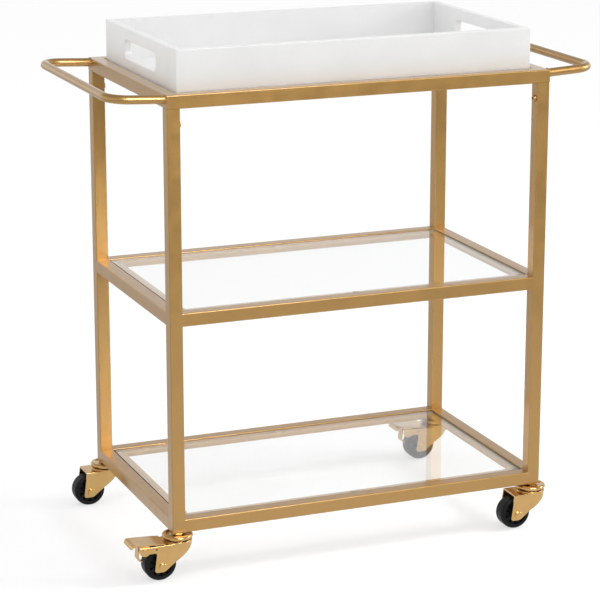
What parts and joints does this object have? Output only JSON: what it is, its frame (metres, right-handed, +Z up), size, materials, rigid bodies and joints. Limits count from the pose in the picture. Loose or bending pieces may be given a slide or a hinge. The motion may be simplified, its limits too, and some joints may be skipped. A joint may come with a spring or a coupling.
{
  "type": "bar cart",
  "caption": "Rolling bar cart with a square-tube frame, glass shelves, end handles, a lift-off tray and braked swivel casters.",
  "frame": {"origin": "on the floor, under the middle of the cart", "axes": "+X along the cart from handle to handle, +Y to the back, +Z up"},
  "size_m": [0.7828, 0.4018, 0.789],
  "materials": {
    "gold_paint": "satin metallic gold powder coat",
    "brass_plate": "satin brass-gold plating on pressed steel",
    "clear_glass": "clear tempered glass, polished edges",
    "clear_pad": "clear soft bumper",
    "white_lacquer": "white satin lacquer",
    "black_wheel": "hard black rubber, low sheen",
    "black_nylon": "moulded nylon",
    "zinc_steel": "zinc plated"
  },
  "bodies": {
    "frame": {"front_left_post": "gold_paint", "front_right_post": "gold_paint", "back_left_post": "gold_paint", "back_right_post": "gold_paint", "bottom_front_rail": "gold_paint", "bottom_back_rail": "gold_paint", "bottom_left_rail": "gold_paint", "bottom_right_rail": "gold_paint", "middle_front_rail": "gold_paint", "middle_back_rail": "gold_paint", "middle_left_rail": "gold_paint", "middle_right_rail": "gold_paint", "top_front_rail": "gold_paint", "top_back_rail": "gold_paint", "top_left_rail": "gold_paint", "top_right_rail": "gold_paint", "bottom_glass_ledge": "gold_paint", "middle_glass_ledge": "gold_paint", "tray_ledge": "gold_paint", "bottom_glass": "clear_glass", "middle_glass": "clear_glass", "bottom_glass_pads": "clear_pad", "middle_glass_pads": "clear_pad", "handle_left": "gold_paint", "handle_right": "gold_paint", "top_frame_spigots": "gold_paint", "frame_screws": "gold_paint", "frame_screw_nuts": "zinc_steel", "caster_sockets": "black_nylon", "caster_stems": "brass_plate", "caster_race_caps": "brass_plate", "caster_balls": "zinc_steel"},
    "tray": {"tray_floor": "white_lacquer", "tray_front_wall": "white_lacquer", "tray_back_wall": "white_lacquer", "tray_left_end": "white_lacquer", "tray_right_end": "white_lacquer"},
    "caster_front_left": {"fork_front_left": "brass_plate", "axle_front_left": "brass_plate", "brake_pin_front_left": "brass_plate"},
    "wheel_front_left": {"wheel_front_left": "black_wheel", "wheel_bushes_front_left": "black_nylon"},
    "brake_front_left": {"brake_pedal_front_left": "brass_plate", "brake_shoe_front_left": "brass_plate"},
    "caster_front_right": {"fork_front_right": "brass_plate", "axle_front_right": "brass_plate"},
    "wheel_front_right": {"wheel_front_right": "black_wheel", "wheel_bushes_front_right": "black_nylon"},
    "caster_back_left": {"fork_back_left": "brass_plate", "axle_back_left": "brass_plate"},
    "wheel_back_left": {"wheel_back_left": "black_wheel", "wheel_bushes_back_left": "black_nylon"},
    "caster_back_right": {"fork_back_right": "brass_plate", "axle_back_right": "brass_plate", "brake_pin_back_right": "brass_plate"},
    "wheel_back_right": {"wheel_back_right": "black_wheel", "wheel_bushes_back_right": "black_nylon"},
    "brake_back_right": {"brake_pedal_back_right": "brass_plate", "brake_shoe_back_right": "brass_plate"}
  },
  "joints": [
    {"name": "tray_lift", "type": "slide", "parent": "frame", "child": "tray", "axis": [0, 0, 1], "range_m": [0, 0.12]},
    {"name": "swivel_front_left", "type": "hinge", "parent": "frame", "child": "caster_front_left", "pos_m": [-0.295, -0.1775, 0.064], "axis": [0, 0, 1], "continuous": true},
    {"name": "spin_front_left", "type": "hinge", "parent": "caster_front_left", "child": "wheel_front_left", "pos_m": [-0.325, -0.1775, 0.025], "axis": [0, 1, 0], "continuous": true},
    {"name": "brake_pedal_front_left", "type": "hinge", "parent": "caster_front_left", "child": "brake_front_left", "pos_m": [-0.352, -0.1775, 0.0535], "axis": [0, -1, 0], "range_deg": [0, 10]},
    {"name": "swivel_front_right", "type": "hinge", "parent": "frame", "child": "caster_front_right", "pos_m": [0.295, -0.1775, 0.064], "axis": [0, 0, 1], "continuous": true},
    {"name": "spin_front_right", "type": "hinge", "parent": "caster_front_right", "child": "wheel_front_right", "pos_m": [0.265, -0.1775, 0.025], "axis": [0, 1, 0], "continuous": true},
    {"name": "swivel_back_left", "type": "hinge", "parent": "frame", "child": "caster_back_left", "pos_m": [-0.295, 0.1775, 0.064], "axis": [0, 0, 1], "continuous": true},
    {"name": "spin_back_left", "type": "hinge", "parent": "caster_back_left", "child": "wheel_back_left", "pos_m": [-0.325, 0.1775, 0.025], "axis": [0, 1, 0], "continuous": true},
    {"name": "swivel_back_right", "type": "hinge", "parent": "frame", "child": "caster_back_right", "pos_m": [0.295, 0.1775, 0.064], "axis": [0, 0, 1], "continuous": true},
    {"name": "spin_back_right", "type": "hinge", "parent": "caster_back_right", "child": "wheel_back_right", "pos_m": [0.265, 0.1775, 0.025], "axis": [0, 1, 0], "continuous": true},
    {"name": "brake_pedal_back_right", "type": "hinge", "parent": "caster_back_right", "child": "brake_back_right", "pos_m": [0.238, 0.1775, 0.0535], "axis": [0, -1, 0], "range_deg": [0, 10]}
  ]
}
